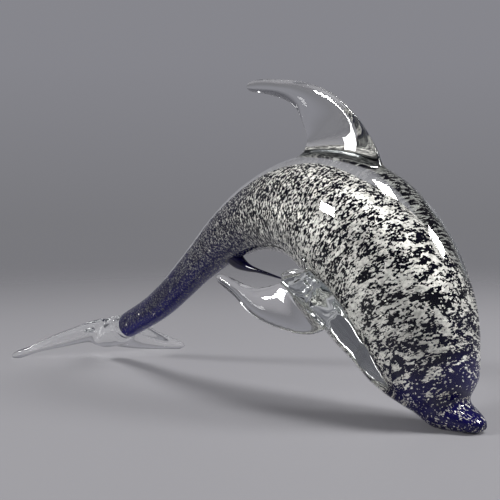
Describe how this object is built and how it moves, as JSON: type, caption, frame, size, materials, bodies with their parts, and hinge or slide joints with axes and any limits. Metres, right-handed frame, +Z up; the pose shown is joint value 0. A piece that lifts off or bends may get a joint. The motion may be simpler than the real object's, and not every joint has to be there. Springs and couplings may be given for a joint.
{
  "type": "crystal glass figurine",
  "caption": "Leaping dolphin in solid hot-worked glass: cobalt core with cracked silver leaf, clear casing, clear fins and flukes, standing on beak and tail.",
  "frame": {"origin": "middle of the figurine's footprint box, on the surface it stands on", "axes": "+X toward the beak, +Y toward the dolphin's left side, +Z up"},
  "size_m": [0.2948, 0.0942, 0.1561],
  "materials": {
    "cobalt_glass": "fire-polished cobalt blue glass",
    "silver_leaf": "cracked silver leaf under glass",
    "clear_glass": "fire-polished clear glass"
  },
  "bodies": {
    "root": {"cobalt_core": "cobalt_glass", "silver_leaf": "silver_leaf", "clear_casing": "clear_glass", "chest_keel": "clear_glass", "dorsal_fin": "clear_glass", "pectoral_fin_right": "clear_glass", "pectoral_fin_left": "clear_glass", "belly_fin": "cobalt_glass", "tail_knuckle": "clear_glass", "fluke_right": "clear_glass", "fluke_left": "clear_glass"}
  },
  "joints": []
}
